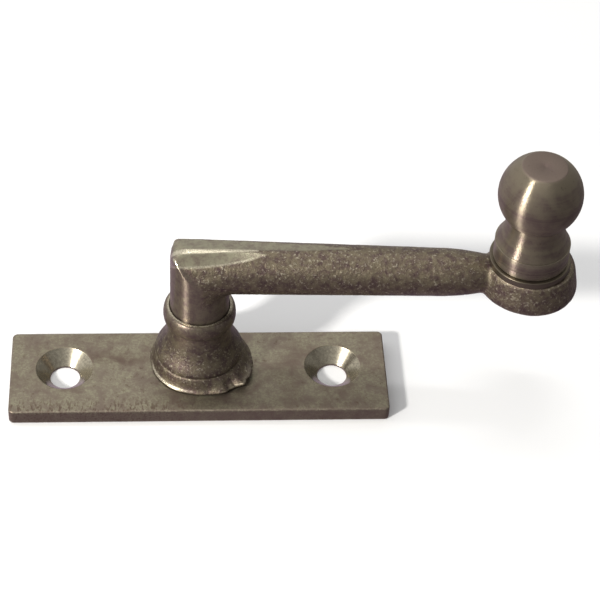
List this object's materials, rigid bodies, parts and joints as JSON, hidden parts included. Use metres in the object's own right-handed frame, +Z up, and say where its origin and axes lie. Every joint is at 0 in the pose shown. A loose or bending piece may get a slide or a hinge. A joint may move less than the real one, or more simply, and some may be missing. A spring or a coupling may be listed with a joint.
{
  "type": "casement window fastener",
  "caption": "Casement window fastener: a crank arm with a turned ball knob swings in a turned post on a flat screw-down plate.",
  "frame": {"origin": "centre of the whole footprint at rest, on the plane of the plate's underside", "axes": "+X along the plate's long side towards the knob, +Y across the plate away from the filed side of the elbow, +Z up from the mounting surface, along the post"},
  "size_m": [0.103, 0.0224, 0.0528],
  "materials": {
    "plate_steel": "bare rolled mild steel, olive-brown and mottled, bright along the worn edges and in the countersinks",
    "turned_steel": "bare turned mild steel with fine lathe rings, slightly browned",
    "forged_steel": "bare forged mild steel with a pitted dark skin, filed flats at the elbow",
    "washer_steel": "plain bare steel washers"
  },
  "bodies": {
    "base": {"base_plate": "plate_steel", "post_sleeve": "turned_steel", "foot_collar": "forged_steel", "spring_washer": "washer_steel"},
    "crank": {"crank_arm": "forged_steel", "rivet_washer": "washer_steel", "seat_washer": "washer_steel", "ball_knob": "turned_steel"}
  },
  "joints": [
    {"name": "arm_swing", "type": "hinge", "parent": "base", "child": "crank", "pos_m": [-0.01653, 0.00179, 0.012], "axis": [0, 0, 1], "continuous": true}
  ]
}
